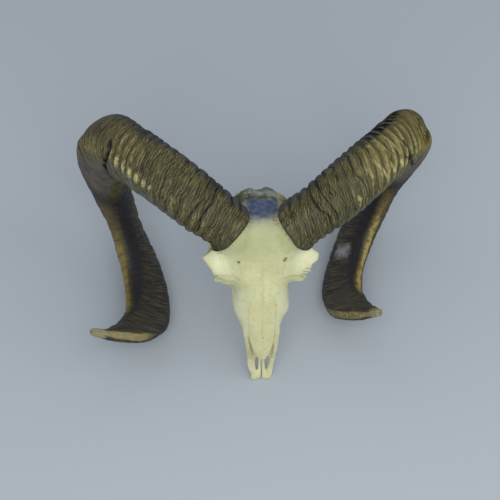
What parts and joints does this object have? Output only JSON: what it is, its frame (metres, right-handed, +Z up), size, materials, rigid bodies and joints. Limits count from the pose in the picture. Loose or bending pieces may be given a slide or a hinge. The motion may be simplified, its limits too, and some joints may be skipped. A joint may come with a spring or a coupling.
{
  "type": "ram skull with horns",
  "caption": "Ram's skull with large ribbed horns that curl out, back and down, without its lower jaw, lying on the tip of its snout and on the curls of its horns.",
  "frame": {"origin": "on the floor, under the middle of the whole skull with its horns", "axes": "+Z up; the snout points to -Y and down to the floor; +X is the animal's own left, the viewer's right"},
  "size_m": [0.3879, 0.2477, 0.2633],
  "materials": {
    "bone": "dry, smooth cream bone, stained blue and green at the back of the crown",
    "jaw_bone": "dry cream bone with worn cream teeth",
    "horn": "ribbed, finely wrinkled horn, olive-brown to near black, paler at its edges and tips"
  },
  "bodies": {
    "root": {"cranium": "bone", "nasal_left": "bone", "nasal_right": "bone", "premaxilla_left": "bone", "premaxilla_right": "bone", "maxilla_left": "jaw_bone", "maxilla_right": "jaw_bone", "horn_left_base": "horn", "horn_left_upper_curl": "horn", "horn_left_lower_curl": "horn", "horn_left_tip": "horn", "horn_right_base": "horn", "horn_right_upper_curl": "horn", "horn_right_lower_curl": "horn", "horn_right_tip": "horn"}
  },
  "joints": []
}
